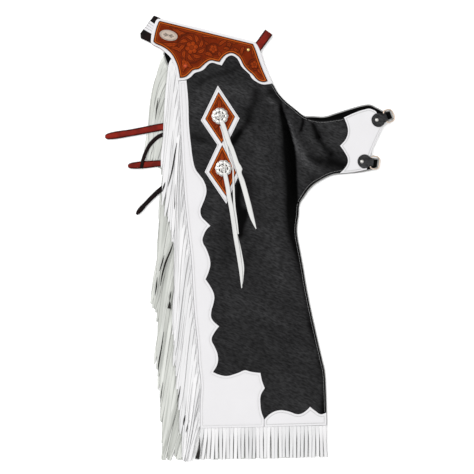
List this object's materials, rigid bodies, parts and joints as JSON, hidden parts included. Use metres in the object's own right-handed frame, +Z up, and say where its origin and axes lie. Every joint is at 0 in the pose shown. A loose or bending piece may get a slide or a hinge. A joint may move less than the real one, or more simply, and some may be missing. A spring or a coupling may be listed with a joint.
{
  "type": "folded fringed leather chaps",
  "caption": "Pair of fringed leather riding chaps, folded leg on leg and laid flat, with a tooled yoke, scalloped overlays and leather strings.",
  "frame": {"origin": "middle of the chaps' outline, on the surface that they lie on", "axes": "+Y up the leg towards the belt, +X across the leg from the fringed outer seam to the crotch, +Z up from the surface"},
  "size_m": [0.6674, 1.022, 0.022],
  "materials": {
    "black_leather": "pebbled, semi-matt",
    "white_leather": "smooth, semi-matt",
    "tooled_leather": "carved, stained and waxed",
    "oxblood_leather": "smooth, oiled",
    "dark_leather": "smooth, oiled",
    "silver": "engraved, polished",
    "brass": "polished",
    "bronze": "dull polish"
  },
  "bodies": {
    "root": {"leg_panel": "black_leather", "under_leg": "black_leather", "upper_chafe": "black_leather", "lower_chafe": "black_leather", "side_band": "white_leather", "hem_band": "white_leather", "wing_tab": "white_leather", "yoke_border": "white_leather", "diamond_border": "white_leather", "side_fringe": "white_leather", "hem_fringe": "white_leather", "upper_string_wide": "white_leather", "upper_string_narrow": "white_leather", "lower_string_front": "white_leather", "lower_string_back": "white_leather", "back_lace_1": "white_leather", "back_lace_2": "white_leather", "back_lace_3": "white_leather", "back_lace_4": "white_leather", "under_side_band": "white_leather", "under_hem_band": "white_leather", "under_wing_tab": "white_leather", "under_side_fringe": "white_leather", "under_hem_fringe": "white_leather", "yoke": "tooled_leather", "upper_diamond": "tooled_leather", "lower_diamond": "tooled_leather", "under_yoke": "tooled_leather", "leg_strap_upper": "oxblood_leather", "leg_strap_middle": "oxblood_leather", "front_strap": "oxblood_leather", "leg_strap_lower": "dark_leather", "strap_keeper": "dark_leather", "back_belt": "dark_leather", "upper_concho": "silver", "lower_concho": "silver", "badge": "silver", "upper_chafe_rivet": "silver", "lower_chafe_rivet": "silver", "yoke_stud": "brass", "yoke_rivet": "bronze", "upper_ring": "bronze", "lower_ring": "bronze"}
  },
  "joints": []
}
